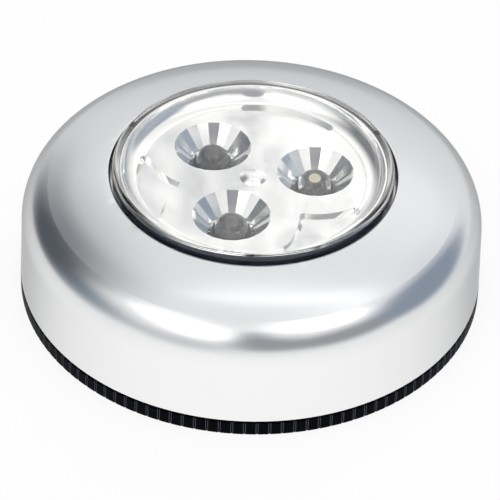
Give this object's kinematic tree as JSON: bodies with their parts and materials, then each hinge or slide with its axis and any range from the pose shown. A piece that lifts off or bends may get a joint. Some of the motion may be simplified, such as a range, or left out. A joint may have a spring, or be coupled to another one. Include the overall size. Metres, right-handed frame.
{
  "type": "touch light",
  "caption": "Round battery touch light: silver domed housing on a ribbed twist-off base, with a clear push-to-switch lens over a metallised reflector with faceted LED wells.",
  "frame": {"origin": "centre of the flat back, where the light stands or is stuck", "axes": "+Z out of the front of the light through the lens, -Y towards the viewer of the picture, with the three cells lying along Y"},
  "size_m": [0.068, 0.068, 0.022],
  "materials": {
    "silver_housing": "ABS with a silver metallic lacquer",
    "clear_lens": "clear polystyrene, polished",
    "metallised_reflector": "ABS, vacuum-metallised mirror coat",
    "black_base": "black ABS, fine moulded grain",
    "foam": "white closed-cell foam tape",
    "liner": "waxed paper",
    "tray": "white ABS",
    "nickel_plate": "nickel-plated spring steel",
    "cell": "printed film sleeve over a steel can",
    "board": "phenolic board with black solder mask",
    "led_epoxy": "clear cast epoxy",
    "lead_frame": "silver-plated lead frame",
    "phosphor": "yellow phosphor in resin",
    "switch_case": "black moulded nylon",
    "switch_button": "white moulded acetal",
    "spring_wire": "stainless spring wire",
    "resistor_body": "beige lacquer with colour bands",
    "solder": "tin solder",
    "screw": "zinc-plated steel",
    "red_pvc": "red PVC insulation",
    "black_pvc": "black PVC insulation"
  },
  "bodies": {
    "base": {"base": "black_base", "foam_pad": "foam", "release_liner": "liner"},
    "push_front": {"lens": "clear_lens", "reflector": "metallised_reflector"},
    "plunger": {"switch_plunger": "switch_button"},
    "housing": {"housing": "silver_housing", "battery_tray": "tray", "contact_positive": "nickel_plate", "contact_negative": "nickel_plate", "contact_bridge_front": "nickel_plate", "contact_bridge_rear": "nickel_plate", "cell_1": "cell", "cell_2": "cell", "cell_3": "cell", "circuit_board": "board", "led_1": "led_epoxy", "led_2": "led_epoxy", "led_3": "led_epoxy", "led_leads_1": "lead_frame", "led_leads_2": "lead_frame", "led_leads_3": "lead_frame", "led_phosphor_1": "phosphor", "led_phosphor_2": "phosphor", "led_phosphor_3": "phosphor", "switch_body": "switch_case", "switch_spring": "spring_wire", "switch_terminals": "lead_frame", "resistor": "resistor_body", "solder_joints": "solder", "board_screws": "screw", "tray_screws": "screw", "wire_red": "red_pvc", "wire_black": "black_pvc"}
  },
  "joints": [
    {"name": "housing_twist", "type": "hinge", "parent": "base", "child": "housing", "pos_m": [0, 0, 0], "axis": [0, 0, 1], "range_deg": [0, 24]},
    {"name": "lens_press", "type": "slide", "parent": "housing", "child": "push_front", "axis": [0, 0, -1], "range_m": [0, 0.001], "stiffness_N_per_m": 1500, "springref_m": -0.0005},
    {"name": "plunger_travel", "type": "slide", "parent": "housing", "child": "plunger", "axis": [0, 0, -1], "range_m": [0, 0.001], "deforming": ["switch_spring"]}
  ],
  "couplings": [
    {"joint": "plunger_travel", "follows": "lens_press", "ratio": 1}
  ]
}
